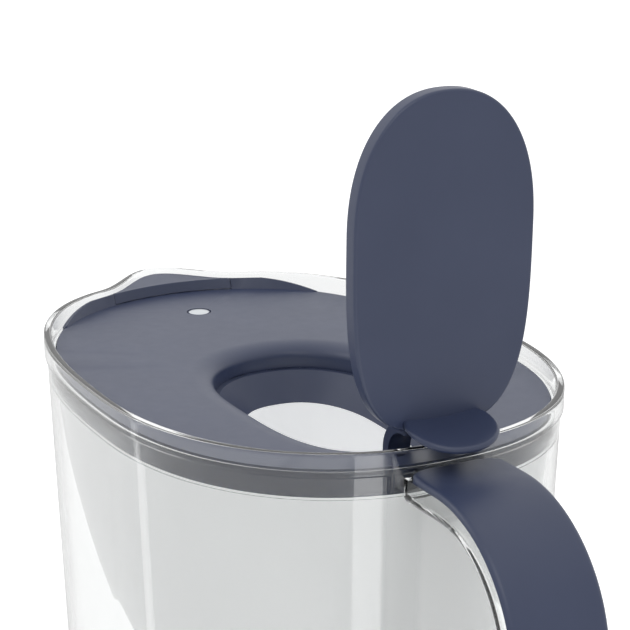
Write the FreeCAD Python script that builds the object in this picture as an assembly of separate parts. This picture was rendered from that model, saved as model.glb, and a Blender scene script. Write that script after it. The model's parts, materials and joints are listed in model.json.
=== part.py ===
import FreeCAD, Part
import math
import os

# Water filter pitcher: clear jug, lift-out funnel with filter cartridge, lid with a fill flap,
# a pour flap in the spout and a small filter-change light. Millimetres, +Z up, +X to the handle.
# The origin is on the table, under the middle of the body.

V = FreeCAD.Vector
UP = V(0, 0, 1)
ALONG_Y = V(0, 1, 0)

# Jug body
RIM_Z = 276.0
BODY_LENGTH = 196.0
BODY_WIDTH = 144.0
WIDEST_X = 14.7
REAR_POWER = 2.23
FRONT_POWER = 2.6
WALL_DRAFT = 0.035
WALL = 2.9
FLOOR = 3.5
BASE_ROUND = 9.0
INNER_ROUND = 7.2
RIM_BAND = 6.5
RIM_STEP = 0.9
RIM_PROUD = 0.8
RIM_WALL = 2.5
RIM_ROUND = 0.9
LEDGE_DROP = 14.2

# Spout, a bell-shaped bulge of the front wall
SPOUT_REACH = 16.0
SPOUT_HALF = 28.0
SPOUT_DROP = 72.0
SPOUT_POWER = 1.8
SPOUT_STEPS = 9

# Handle: clear channel moulded with the jug, and a dark grip over it
HANDLE_X = 155.0
HANDLE_DROP = 6.0
HANDLE_HEIGHT = 194.0
HANDLE_TOP_ROUND = 42.0
HANDLE_LOW_ROUND = 36.0
HANDLE_ROOT_ROUND = 8.0
GRIP_HALF = 15.5
GRIP_THICK = 2.4
GRIP_SIDE = 1.2
GRIP_EDGE = 1.9
CORE_HALF = 14.4
CORE_DEPTH = 8.2
CORE_WALL = 2.4
GRIP_GAP = 0.3

# Funnel
FUNNEL_GAP = 0.3
FUNNEL_RIM = 1.0
FUNNEL_WALL = 1.6
FUNNEL_DRAFT = 0.05
FUNNEL_SHOULDER = 1.4
FUNNEL_RIM_DROP = 5.9
FUNNEL_DEPTH = 114.0
BOWL_FRONT = 62.0
BOWL_SIDE = 23.5
BOWL_POWER = 1.65
BOWL_STEPS = 10
FUNNEL_DENT = 10.5
FUNNEL_DENT_HALF = 50.0
FUNNEL_FRONT_CUT_X = -74.0
WELL_X = 22.0
WELL_RADIUS = 33.0
WELL_DEPTH = 60.0
WELL_DRAIN_RADIUS = 22.0

# Filter cartridge
CARTRIDGE_GAP = 0.4
CARTRIDGE_WALL = 1.5
CARTRIDGE_TAPER = 2.0
CARTRIDGE_LIP = 3.4
CARTRIDGE_LIP_THICK = 2.0
CARTRIDGE_FOOT_GAP = 3.0
SEAL_THICK = 1.2
CAP_HEIGHT = 32.0
CAP_SHOULDER = 10.7
CAP_WALL = 1.6
CAP_TOP_RADIUS = 19.0
CAP_SLOTS = 12
CAP_SLOT_WIDTH = 2.4
PULL_LOOP_RADIUS = 9.0
PULL_LOOP_WIRE = 2.2
SCREEN_THICK = 0.8
SCREEN_HOLE_RADIUS = 1.5
SCREEN_RINGS = 4
FIRST_RING_HOLES = 6
MEDIA_HEAD_ROOM = 3.0

# Lid panel
LID_RECESS = 5.4
LID_PLATE = 2.0
LID_GAP = 0.3
LID_SKIRT = 1.6
LIP_HEIGHT = 3.7
LIP_ARC_X = -31.3
LIP_ARC_RADIUS = 64.0
LIP_SLOPE = 1.4
LIP_SHELF = 1.4
LIP_WALL_GAP = 0.6
LIP_END_Y = 49.0
LIP_SHOULDER_Y = 40.0
LIP_SHOULDER_DROP = 1.0

# Fill opening and its flap, drawn closed and then swung open
HINGE_X = 88.45
HINGE_DROP = 9.6
FLAP_FREE_LENGTH = 39.6
FLAP_HINGE_LENGTH = 56.9
FLAP_HALF_WIDTH = 28.7
FLAP_FREE_POWER = 2.27
FLAP_HINGE_POWER = 3.27
FLAP_END_TO_HINGE = 12.1
FLAP_FACE_RISE = 3.15
FLAP_THICK = 5.0
FLAP_SKIN = 1.8
FLAP_SIDE_WALL = 1.6
FLAP_FIT = 0.15
FLAP_PLATE = 1.5
FLAP_EDGE = 0.7
FLAP_EDGE_EASE = 0.2
FLAP_OPEN_ANGLE = 91.0
FLAP_GAP = 1.0
DISH_WIDTH = 8.0
DISH_DEPTH = 3.8
DISH_STEPS = 8
HOLE_WALL = 1.6
HOLE_WALL_BOTTOM = 13.2

# Thumb tab on the flap
TAB_ROOT_FROM_HINGE = 15.6
TAB_LENGTH = 17.4
TAB_WIDEST = 5.5
TAB_HALF = 13.6
TAB_POWER = 2.2
TAB_THICK = 2.2
TAB_LEAN = 11.0
TAB_SCOOP_RADIUS = 80.0

# Hinge of the fill flap: two bent arms on one pin
PIN_RADIUS = 1.1
PIN_CLEARANCE = 0.05
PIN_PRESS = 0.02
HUB_RADIUS = 2.0
ARM_INNER_Y = 3.6
ARM_OUTER_Y = 11.0
ARM_BEND_X = 3.6
ARM_BEND_RADIUS = 9.0
ARM_THICK = 3.0
ARM_ROOT = 10.0
ARM_SIDE_GAP = 0.4
LUG_THICK = 3.0
LUG_RADIUS = 2.6
ARM_SLOT_DEPTH = 8.0

# Fill collar under the opening
COLLAR_FLANGE = 1.4
COLLAR_LEDGE = 0.8
COLLAR_REACH = 9.0
COLLAR_BOTTOM = 22.0
COLLAR_WALL = 1.4
COLLAR_MOUTH_STEP = 0.35
CLIP_HALF = 4.0
CLIP_RISE = 1.8
CLIP_THICK = 1.1
CLIP_GAP = 0.1

# Pour flap in the spout
POUR_HALF = 22.4
POUR_SEAM = 0.4
POUR_INSET_GAP = 0.6
POUR_PLATE = 2.0
POUR_TIP_RISE = 0.6
POUR_BAND = 1.6
POUR_BAND_LIFT = 0.3
POUR_AXIS_X = -89.5
POUR_AXIS_DROP = 9.4
POUR_HUB_RADIUS = 1.9
POUR_PIN_RADIUS = 1.0
POUR_PIN_LENGTH = 2.4
POUR_PIN_CLEARANCE = 0.06
POUR_HOOK_RADIUS = 9.4
POUR_HOOK_THICK = 2.0
POUR_HOOK_INNER_Y = 6.0
POUR_HOOK_WIDTH = 3.0
POUR_LUG_GAP = 0.4
POUR_LUG_THICK = 2.6
POUR_LUG_RADIUS = 2.3
HOOK_LOW_ANGLE = 240.0
HOOK_HIGH_ANGLE = 175.0

# Filter-change light under the lid
BUTTON_X = -70.3
BUTTON_RADIUS = 3.9
BUTTON_GAP = 0.35
BUTTON_RECESS = 0.1
BUTTON_FLANGE_RADIUS = 5.0
BUTTON_FLANGE = 0.8
BUTTON_FLANGE_GAP = 0.3
BUTTON_STEM_RADIUS = 1.4
BUTTON_STEM = 1.1
BUTTON_TRAVEL = 0.6
SWITCH_GAP = 0.2
SWITCH_SIDE = 6.0
SWITCH_HEIGHT = 1.9
PLUNGER_RADIUS = 1.0
PLUNGER_HEIGHT = 0.5
CASE_X = -62.0
CASE_LENGTH = 33.0
CASE_WIDTH = 27.0
CASE_ROUND = 4.0
CASE_WALL = 1.6
CASE_LEDGE = 1.2
CASE_FIT = 0.3
CASE_BASE = 1.5
GASKET_THICK = 0.8
BOARD_THICK = 1.2
CELL_RADIUS = 10.0
CELL_THICK = 3.2
CLIP_SHEET = 0.4
CLIP_LEG_HALF = 3.0
CHIP_LENGTH = 2.0
CHIP_WIDTH = 1.3
CHIP_HEIGHT = 0.8
SCREW_RADIUS = 0.9
SCREW_CLEARANCE = 0.05
SCREW_HEAD_RADIUS = 1.9
SCREW_HEAD = 1.4
SCREW_GRIP = 6.0
EAR_RADIUS = 2.8

# Outlines are closed curves through this many points of a formula
OUTLINE_POINTS = 72
FRONT_CROWDING = 0.45
ROUND_STEPS = 6
CUT_MARGIN = 2.0
TINY = 0.01

SIDE = BODY_WIDTH / 2
REAR_X = BODY_LENGTH / 2
FRONT_SEMI = BODY_LENGTH / 2 + WIDEST_X
REAR_SEMI = BODY_LENGTH / 2 - WIDEST_X
LEDGE_Z = RIM_Z - LEDGE_DROP
LID_TOP = RIM_Z - LID_RECESS
LID_UNDER = LID_TOP - LID_PLATE
LIP_TOP = LID_TOP + LIP_HEIGHT
SKIRT_BOTTOM = LEDGE_Z + FUNNEL_SHOULDER
FUNNEL_RIM_INSET = RIM_WALL + FUNNEL_GAP
LID_INSET = FUNNEL_RIM_INSET + FUNNEL_RIM + LID_GAP
LIP_INSET = RIM_WALL + POUR_INSET_GAP
HINGE_Z = RIM_Z - HINGE_DROP
HINGE = V(HINGE_X, 0, HINGE_Z)
FLAP_TOP = HINGE_Z + FLAP_FACE_RISE
FLAP_MIDDLE_X = HINGE_X - FLAP_END_TO_HINGE - FLAP_HINGE_LENGTH
DISH_Z = LID_TOP - DISH_DEPTH
HOLE_BOTTOM = RIM_Z - HOLE_WALL_BOTTOM
POUR_AXIS_Z = RIM_Z - POUR_AXIS_DROP
FUNNEL_FLOOR_Z = RIM_Z - FUNNEL_DEPTH


def closed_curve(points):
    curve = Part.BSplineCurve()
    curve.interpolate(Points=points, PeriodicFlag=True)
    return Part.Wire([curve.toShape()])


def egg_points(low, high, side, low_power, high_power, inset, bulge=0.0, bulge_half=1.0):
    """Points of a two-ended superellipse moved inwards, with a bell bulge at its low end."""
    points = []
    for k in range(OUTLINE_POINTS):
        turn = 2 * math.pi * k / OUTLINE_POINTS
        angle = turn + FRONT_CROWDING * math.sin(turn)
        c = math.cos(angle)
        s = math.sin(angle)
        semi = high if c >= 0 else low
        power = high_power if c >= 0 else low_power
        radius = (abs(c / semi) ** power + abs(s / side) ** power) ** (-1 / power)
        x = radius * c
        y = radius * s
        nx = math.copysign(abs(x / semi) ** (power - 1) / semi, x)
        ny = math.copysign(abs(y / side) ** (power - 1) / side, y)
        if x < 0 and abs(y) < bulge_half:
            phase = math.pi * y / bulge_half
            x -= bulge * (1 + math.cos(phase)) / 2
            ny -= nx * bulge * math.sin(phase) * math.pi / (2 * bulge_half)
        length = math.hypot(nx, ny)
        points.append((x - inset * nx / length, y - inset * ny / length))
    return points


def body_wire(inset, z, bulge=0.0):
    points = egg_points(FRONT_SEMI, REAR_SEMI, SIDE, FRONT_POWER, REAR_POWER, inset, bulge, SPOUT_HALF)
    return closed_curve([V(x + WIDEST_X, y, z) for x, y in points])


def flap_wire(inset, z):
    """Plan of the closed fill flap; a negative inset grows it."""
    points = egg_points(FLAP_FREE_LENGTH, FLAP_HINGE_LENGTH, FLAP_HALF_WIDTH,
                        FLAP_FREE_POWER, FLAP_HINGE_POWER, inset)
    return closed_curve([V(FLAP_MIDDLE_X + x, y, z) for x, y in points])


def prism(wire, height):
    return Part.Face(wire).extrude(V(0, 0, height))


def loft(wires):
    return Part.makeLoft(wires, True, True)


def block(x0, x1, y0, y1, z0, z1):
    return Part.makeBox(x1 - x0, y1 - y0, z1 - z0, V(x0, y0, z0))


def disc(radius, x, y, z0, z1):
    return Part.makeCylinder(radius, z1 - z0, V(x, y, z0), UP)


def rod_y(radius, x, z, y0, y1):
    return Part.makeCylinder(radius, y1 - y0, V(x, y0, z), ALONG_Y)


def both_sides(shape):
    return shape.fuse(shape.mirror(V(0, 0, 0), ALONG_Y))


def revolve(points, x):
    """Full turn of an (radius, z) profile about the upright axis through x."""
    corners = [V(x + r, 0, z) for r, z in points]
    return Part.Face(Part.makePolygon(corners + corners[:1])).revolve(V(x, 0, 0), UP, 360)


def spout_bulge(z):
    rise = max(0.0, z - (RIM_Z - SPOUT_DROP)) / SPOUT_DROP
    return SPOUT_REACH * rise ** SPOUT_POWER


def wall_inset(z):
    return RIM_PROUD + WALL_DRAFT * max(0.0, RIM_Z - RIM_BAND - z)


def spout_levels(low, high):
    return [low + (high - low) * k / SPOUT_STEPS for k in range(SPOUT_STEPS + 1)]


def round_steps(radius, z):
    """Height and extra inset around a rounded bottom edge that starts at z."""
    steps = []
    for k in range(ROUND_STEPS + 1):
        angle = math.pi / 2 * k / ROUND_STEPS
        steps.append((z + radius * (1 - math.cos(angle)), radius * (1 - math.sin(angle))))
    return steps


def jug_outside(grow=0.0):
    step_z = RIM_Z - RIM_BAND
    wires = [body_wire(wall_inset(z) + extra - grow, z) for z, extra in round_steps(BASE_ROUND, 0)]
    for z in spout_levels(RIM_Z - SPOUT_DROP, step_z - RIM_STEP):
        wires.append(body_wire(wall_inset(z) - grow, z, spout_bulge(z)))
    for z in (step_z, RIM_Z - RIM_ROUND):
        wires.append(body_wire(-grow, z, spout_bulge(z)))
    wires.append(body_wire(RIM_ROUND / 2 - grow, RIM_Z, spout_bulge(RIM_Z)))
    return loft(wires)


def jug_inside():
    steps = round_steps(INNER_ROUND, FLOOR)
    wires = [body_wire(wall_inset(z) + WALL + extra, z) for z, extra in steps]
    for z in spout_levels(RIM_Z - SPOUT_DROP, LEDGE_Z):
        wires.append(body_wire(wall_inset(z) + WALL, z, spout_bulge(z)))
    chamber = loft(wires)
    levels = (LEDGE_Z, (LEDGE_Z + RIM_Z) / 2, RIM_Z, RIM_Z + CUT_MARGIN)
    pocket = loft([body_wire(RIM_WALL, z, spout_bulge(min(z, RIM_Z))) for z in levels])
    return chamber.fuse(pocket)


def handle_loop(depth, half, root_x):
    """Solid D shape of the handle at a depth below its outer face, half wide each way."""
    top = RIM_Z - HANDLE_DROP - depth
    low = RIM_Z - HANDLE_DROP - HANDLE_HEIGHT + depth
    out = HANDLE_X - depth
    r_top = HANDLE_TOP_ROUND - depth
    r_low = HANDLE_LOW_ROUND - depth
    diagonal = math.sqrt(0.5)
    a = V(root_x, -half, top)
    b = V(out - r_top, -half, top)
    c = V(out, -half, top - r_top)
    d = V(out, -half, low + r_low)
    e = V(out - r_low, -half, low)
    f = V(root_x, -half, low)
    bc = V(out - r_top + r_top * diagonal, -half, top - r_top + r_top * diagonal)
    de = V(out - r_low + r_low * diagonal, -half, low + r_low - r_low * diagonal)
    edges = [Part.LineSegment(a, b), Part.Arc(b, bc, c), Part.LineSegment(c, d), Part.Arc(d, de, e),
             Part.LineSegment(e, f), Part.LineSegment(f, a)]
    wire = Part.Wire([edge.toShape() for edge in edges])
    return Part.Face(wire).extrude(V(0, 2 * half, 0))


def finger_gap():
    """The space between the handle and the body, rounded where the handle meets the wall."""
    depth = GRIP_THICK + CORE_DEPTH
    root_x = REAR_X - wall_inset(RIM_Z - HANDLE_DROP - HANDLE_HEIGHT) - WALL / 2
    loop = handle_loop(depth, GRIP_HALF + CUT_MARGIN, root_x)
    near = [edge for edge in loop.Edges if abs(edge.BoundBox.XMax - root_x) < TINY
            and edge.BoundBox.YLength > GRIP_HALF]
    return loop.makeFillet(HANDLE_ROOT_ROUND, near)


def handle_core():
    root_x = REAR_X - RIM_PROUD - WALL - WALL_DRAFT * (HANDLE_DROP + HANDLE_HEIGHT)
    core = handle_loop(GRIP_THICK, CORE_HALF, root_x)
    core = core.cut(finger_gap())
    open_depth = GRIP_THICK - CUT_MARGIN
    trough_x = REAR_X + CORE_WALL
    trough = handle_loop(open_depth, CORE_HALF - CORE_WALL, trough_x)
    trough = trough.cut(handle_loop(GRIP_THICK + CORE_DEPTH - CORE_WALL, CORE_HALF, trough_x))
    return core.cut(trough)


def make_jug_body():
    return jug_outside().fuse(handle_core()).cut(jug_inside()).removeSplitter()


def make_handle_grip():
    root_x = REAR_X - WALL - WALL_DRAFT * (HANDLE_DROP + HANDLE_HEIGHT)
    grip = handle_loop(0, GRIP_HALF, root_x)
    sides = [edge for edge in grip.Edges if edge.BoundBox.YLength < TINY
             and edge.BoundBox.XMax > root_x + TINY]
    grip = grip.makeFillet(GRIP_EDGE, sides)
    grip = grip.cut(handle_loop(GRIP_SIDE, GRIP_HALF + CUT_MARGIN, root_x - CUT_MARGIN))
    grip = grip.cut(handle_loop(GRIP_THICK, CORE_HALF + GRIP_GAP / 2, root_x - CUT_MARGIN))
    return grip.cut(jug_outside(GRIP_GAP))


def funnel_wire(inset, z, closing=0.0):
    """Plan of the funnel; closing runs from 0 at the ledge to 1 at the floor."""
    taper = FUNNEL_DRAFT * max(0.0, LEDGE_Z - z)
    front = FRONT_SEMI - BOWL_FRONT * closing - taper
    rear = REAR_SEMI - BOWL_SIDE * closing - taper
    side = SIDE - BOWL_SIDE * closing - taper
    dent = FUNNEL_DENT * (1 - closing)
    points = egg_points(front, rear, side, FRONT_POWER, REAR_POWER, inset, -dent, FUNNEL_DENT_HALF)
    return closed_curve([V(x + WIDEST_X, y, z) for x, y in points])


def funnel_bowl(inset, floor_z, top_z):
    """Bowl that closes in towards its floor; the inset is that at the ledge."""
    wires = []
    for k in range(BOWL_STEPS + 1):
        angle = math.pi / 2 * (1 - k / BOWL_STEPS)
        depth = (LEDGE_Z - floor_z) * math.sin(angle) ** (2 / BOWL_POWER)
        wires.append(funnel_wire(inset, LEDGE_Z - depth, 1 - math.cos(angle) ** (2 / BOWL_POWER)))
    wires.append(funnel_wire(inset, top_z))
    return loft(wires)


def make_funnel():
    outer = RIM_PROUD + WALL_DRAFT * (LEDGE_DROP - RIM_BAND) + WALL + FUNNEL_GAP
    inner = outer + FUNNEL_WALL
    bowl = funnel_bowl(outer, FUNNEL_FLOOR_Z, LEDGE_Z + FUNNEL_SHOULDER)
    rim = prism(funnel_wire(FUNNEL_RIM_INSET, LEDGE_Z), LEDGE_DROP - FUNNEL_RIM_DROP)
    well_low = FUNNEL_FLOOR_Z - WELL_DEPTH
    well = disc(WELL_RADIUS + FUNNEL_WALL, WELL_X, 0, well_low, FUNNEL_FLOOR_Z + FUNNEL_WALL)
    hollow = funnel_bowl(inner, FUNNEL_FLOOR_Z + FUNNEL_WALL, LEDGE_Z + FUNNEL_SHOULDER + CUT_MARGIN)
    above = prism(funnel_wire(FUNNEL_RIM_INSET + FUNNEL_RIM, SKIRT_BOTTOM), LEDGE_DROP)
    front = block(-BODY_LENGTH, FUNNEL_FRONT_CUT_X, -SIDE, SIDE, LID_UNDER - LID_GAP, RIM_Z)
    bore = disc(WELL_RADIUS, WELL_X, 0, well_low + FUNNEL_WALL, FUNNEL_FLOOR_Z + 2 * FUNNEL_WALL)
    drain = disc(WELL_DRAIN_RADIUS, WELL_X, 0, well_low - CUT_MARGIN, well_low + 2 * FUNNEL_WALL)
    return bowl.fuse([rim, well]).cut([hollow, above, front, bore, drain]).removeSplitter()


# Heights of the cartridge, which hangs by its lip on the funnel floor
SEAT_Z = FUNNEL_FLOOR_Z + FUNNEL_WALL
LIP_Z = SEAT_Z + SEAL_THICK
CUP_RADIUS = WELL_RADIUS - CARTRIDGE_GAP
CUP_LOW_RADIUS = CUP_RADIUS - CARTRIDGE_TAPER
CUP_LOW_Z = FUNNEL_FLOOR_Z - WELL_DEPTH + FUNNEL_WALL + CARTRIDGE_FOOT_GAP
CUP_TOP_Z = LIP_Z + CARTRIDGE_LIP_THICK
SIEVE_Z = CUP_LOW_Z + CARTRIDGE_WALL
MEDIA_LOW_Z = SIEVE_Z + SCREEN_THICK
SCREEN_Z = CUP_TOP_Z


def cup_bore(z):
    """Inside radius of the tapered cartridge cup."""
    share = (z - CUP_LOW_Z) / (CUP_TOP_Z - CUP_LOW_Z)
    return CUP_LOW_RADIUS + CARTRIDGE_TAPER * share - CARTRIDGE_WALL


def make_cartridge_cup():
    lip = CUP_RADIUS + CARTRIDGE_LIP
    cup = revolve([(0, CUP_LOW_Z), (CUP_LOW_RADIUS, CUP_LOW_Z), (CUP_RADIUS, LIP_Z), (lip, LIP_Z),
                   (lip, CUP_TOP_Z), (cup_bore(CUP_TOP_Z), CUP_TOP_Z), (cup_bore(SIEVE_Z), SIEVE_Z),
                   (0, SIEVE_Z)], WELL_X)
    return cup.cut(hole_field(CUP_LOW_Z - CUT_MARGIN, SIEVE_Z + CUT_MARGIN, cup_bore(SIEVE_Z)))


def hole_field(z0, z1, reach):
    """Rings of small holes about the cartridge axis."""
    pitch = reach / (SCREEN_RINGS + 1)
    holes = []
    for ring in range(1, SCREEN_RINGS + 1):
        count = FIRST_RING_HOLES * ring
        for k in range(count):
            angle = 2 * math.pi * k / count
            x = WELL_X + ring * pitch * math.cos(angle)
            holes.append(disc(SCREEN_HOLE_RADIUS, x, ring * pitch * math.sin(angle), z0, z1))
    return Part.makeCompound(holes)


def make_cartridge_sieve():
    radius = cup_bore(SIEVE_Z) - CARTRIDGE_GAP
    return disc(radius, WELL_X, 0, SIEVE_Z, MEDIA_LOW_Z)


def make_cartridge_media():
    top = CUP_TOP_Z - MEDIA_HEAD_ROOM
    low = cup_bore(MEDIA_LOW_Z) - CARTRIDGE_GAP
    high = cup_bore(top) - CARTRIDGE_GAP
    return revolve([(0, MEDIA_LOW_Z), (low, MEDIA_LOW_Z), (high, top), (0, top)], WELL_X)


def make_cartridge_screen():
    plate = disc(CUP_RADIUS, WELL_X, 0, SCREEN_Z, SCREEN_Z + SCREEN_THICK)
    return plate.cut(hole_field(SCREEN_Z - CUT_MARGIN, SCREEN_Z + CUT_MARGIN, CUP_RADIUS - CAP_WALL))


def make_cartridge_cap():
    foot = SCREEN_Z + SCREEN_THICK
    skirt = CUP_TOP_Z
    top = foot + CAP_HEIGHT
    lip = CUP_RADIUS + CARTRIDGE_LIP
    hold = CUP_RADIUS + CARTRIDGE_GAP / 2
    shoulder = foot + CAP_SHOULDER
    cap = revolve([(hold, skirt), (lip, skirt), (lip, foot + CAP_WALL), (CUP_RADIUS, foot + CAP_WALL),
                   (CUP_RADIUS, shoulder), (CAP_TOP_RADIUS, top), (0, top), (0, top - CAP_WALL),
                   (CAP_TOP_RADIUS - CAP_WALL, top - CAP_WALL), (CUP_RADIUS - CAP_WALL, shoulder),
                   (CUP_RADIUS - CAP_WALL, foot), (hold, foot)], WELL_X)
    slot = block(WELL_X + CAP_TOP_RADIUS, WELL_X + lip + CUT_MARGIN, -CAP_SLOT_WIDTH / 2, CAP_SLOT_WIDTH / 2,
                 foot + 2 * CAP_WALL, top - 2 * CAP_WALL)
    slots = []
    for k in range(CAP_SLOTS):
        turned = slot.copy()
        turned.rotate(V(WELL_X, 0, 0), UP, 360 * k / CAP_SLOTS)
        slots.append(turned)
    loop = Part.makeTorus(PULL_LOOP_RADIUS, PULL_LOOP_WIRE, V(WELL_X, 0, top), V(1, 0, 0))
    below = disc(PULL_LOOP_RADIUS + 2 * PULL_LOOP_WIRE, WELL_X, 0, top - 2 * PULL_LOOP_RADIUS,
                 top - CAP_WALL / 2)
    return cap.cut(Part.makeCompound(slots)).fuse(loop.cut(below))


def make_cartridge_seal():
    inner = CUP_RADIUS + CARTRIDGE_GAP
    outer = CUP_RADIUS + CARTRIDGE_LIP
    return disc(outer, WELL_X, 0, SEAT_Z, LIP_Z).cut(disc(inner, WELL_X, 0, SEAT_Z, LIP_Z))


def dish_sections(extra_out, extra_down):
    """Plan outlines of the rolled-in edge around the fill opening, from the flat to the wall."""
    wires = []
    for k in range(DISH_STEPS + 1):
        t = k / DISH_STEPS
        out = FLAP_GAP + DISH_WIDTH * (1 - math.sin(t * math.pi / 2)) + extra_out
        down = DISH_DEPTH * (1 - math.cos(t * math.pi / 2)) + extra_down
        wires.append(flap_wire(-out, LID_TOP - down))
    return wires


def lip_cone(z0, z1, radius):
    """Upright round cut whose wall slopes outwards, behind the raised front lip."""
    slope = LIP_SLOPE / LIP_HEIGHT
    r0 = radius + slope * (z0 - LID_TOP)
    return Part.makeCone(r0, radius + slope * (z1 - LID_TOP), z1 - z0, V(LIP_ARC_X, 0, z0), UP)


def pour_window(half, radius, z0, z1):
    """The part of the front inside the two seams and ahead of the lip arc."""
    slot = block(-BODY_LENGTH, LIP_ARC_X, -half, half, z0, z1)
    return slot.cut(lip_cone(z0, z1, radius))


def lip_crest():
    """Half of the raised lip from the front: full height at the pour flap, none at its end."""
    top = V(-BODY_LENGTH, POUR_HALF, LIP_TOP)
    shoulder = V(-BODY_LENGTH, LIP_SHOULDER_Y, LIP_TOP - LIP_SHOULDER_DROP)
    end = V(-BODY_LENGTH, LIP_END_Y, LID_TOP)
    corners = [end, V(-BODY_LENGTH, LIP_END_Y, LID_UNDER), V(-BODY_LENGTH, 0, LID_UNDER),
               V(-BODY_LENGTH, 0, LIP_TOP), top]
    edges = [Part.Arc(top, shoulder, end).toShape()]
    edges += [Part.LineSegment(a, b).toShape() for a, b in zip(corners, corners[1:])]
    return Part.Face(Part.Wire(edges)).extrude(V(BODY_LENGTH + FUNNEL_FRONT_CUT_X, 0, 0))


def lid_plate():
    bulge = spout_bulge(LID_UNDER)
    plate = prism(body_wire(LID_INSET, LID_UNDER, bulge), LID_PLATE)
    lip = prism(body_wire(LIP_INSET, LID_UNDER, bulge), LIP_TOP - LID_UNDER)
    lip = lip.common(both_sides(lip_crest()))
    lip = lip.cut(lip_cone(LID_TOP, LIP_TOP + CUT_MARGIN, LIP_ARC_RADIUS))
    return plate.fuse(lip)


def lid_skirt():
    outside = prism(funnel_wire(LID_INSET, SKIRT_BOTTOM), LID_UNDER - SKIRT_BOTTOM)
    inside = prism(funnel_wire(LID_INSET + LID_SKIRT, SKIRT_BOTTOM - CUT_MARGIN), LEDGE_DROP)
    return outside.cut(inside)


def pin_lug(y0, y1):
    """Ear under the lid that carries the pin of the fill flap."""
    ear = block(HINGE_X - LUG_RADIUS, HINGE_X + LUG_RADIUS, y0, y1, HINGE_Z, LID_UNDER)
    return ear.fuse(rod_y(LUG_RADIUS, HINGE_X, HINGE_Z, y0, y1))


def pour_lug():
    y0 = POUR_HOOK_INNER_Y + POUR_HOOK_WIDTH + POUR_LUG_GAP
    y1 = y0 + POUR_LUG_THICK
    ear = block(POUR_AXIS_X - POUR_LUG_RADIUS, POUR_AXIS_X + POUR_LUG_RADIUS, y0, y1, POUR_AXIS_Z, LID_UNDER)
    ear = ear.fuse(rod_y(POUR_LUG_RADIUS, POUR_AXIS_X, POUR_AXIS_Z, y0, y1))
    return ear.cut(rod_y(POUR_PIN_RADIUS + POUR_PIN_CLEARANCE, POUR_AXIS_X, POUR_AXIS_Z, 0, y1 + CUT_MARGIN))


def arm_slots():
    """Notches in the rear edge of the opening that the two bent arms pass through."""
    x0 = FLAP_MIDDLE_X
    x1 = HINGE_X - ARM_BEND_X - ARM_BEND_RADIUS + ARM_THICK + ARM_SLOT_DEPTH
    slot = block(x0, x1, ARM_INNER_Y - ARM_SIDE_GAP, ARM_OUTER_Y + ARM_SIDE_GAP, RIM_Z - BODY_WIDTH, RIM_Z)
    return both_sides(slot)


def screw_places():
    return [(CASE_X, side * (CASE_WIDTH / 2 + EAR_RADIUS)) for side in (-1, 1)]


def make_lid_panel():
    rolled = loft(dish_sections(HOLE_WALL, LID_PLATE))
    wall = prism(flap_wire(-FLAP_GAP - HOLE_WALL, HOLE_BOTTOM), DISH_Z - HOLE_BOTTOM)
    added = [lid_skirt(), rolled, wall]
    top = flap_wire(-FLAP_GAP - DISH_WIDTH, LID_TOP + CUT_MARGIN)
    seam = POUR_HALF + POUR_SEAM
    taken = [loft([top] + dish_sections(0, 0)), arm_slots(),
             prism(flap_wire(-FLAP_GAP, HOLE_BOTTOM - CUT_MARGIN), LEDGE_DROP),
             pour_window(seam, LIP_ARC_RADIUS + LIP_SHELF, SKIRT_BOTTOM + LID_PLATE, LID_TOP),
             pour_window(seam, LIP_ARC_RADIUS - LIP_WALL_GAP, LID_TOP, RIM_Z)]
    lug_y = ARM_OUTER_Y + ARM_SIDE_GAP
    added.append(pin_lug(-ARM_INNER_Y + ARM_SIDE_GAP, ARM_INNER_Y - ARM_SIDE_GAP))
    added.append(both_sides(pin_lug(lug_y, lug_y + LUG_THICK)))
    added.append(both_sides(pour_lug()))
    pin_reach = lug_y + LUG_THICK
    taken.append(rod_y(PIN_RADIUS + PIN_PRESS, HINGE_X, HINGE_Z, -pin_reach, pin_reach))
    for x, y in screw_places():
        added.append(disc(EAR_RADIUS, x, y, CASE_EAR_TOP, LID_UNDER))
        taken.append(disc(SCREW_RADIUS + SCREW_CLEARANCE, x, y, CASE_EAR_TOP - CUT_MARGIN,
                          CASE_EAR_TOP + SCREW_GRIP))
    taken.append(disc(BUTTON_RADIUS + BUTTON_GAP, BUTTON_X, 0, LID_UNDER - CUT_MARGIN, LID_TOP + CUT_MARGIN))
    return lid_plate().fuse(added).cut(taken).removeSplitter()


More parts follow.
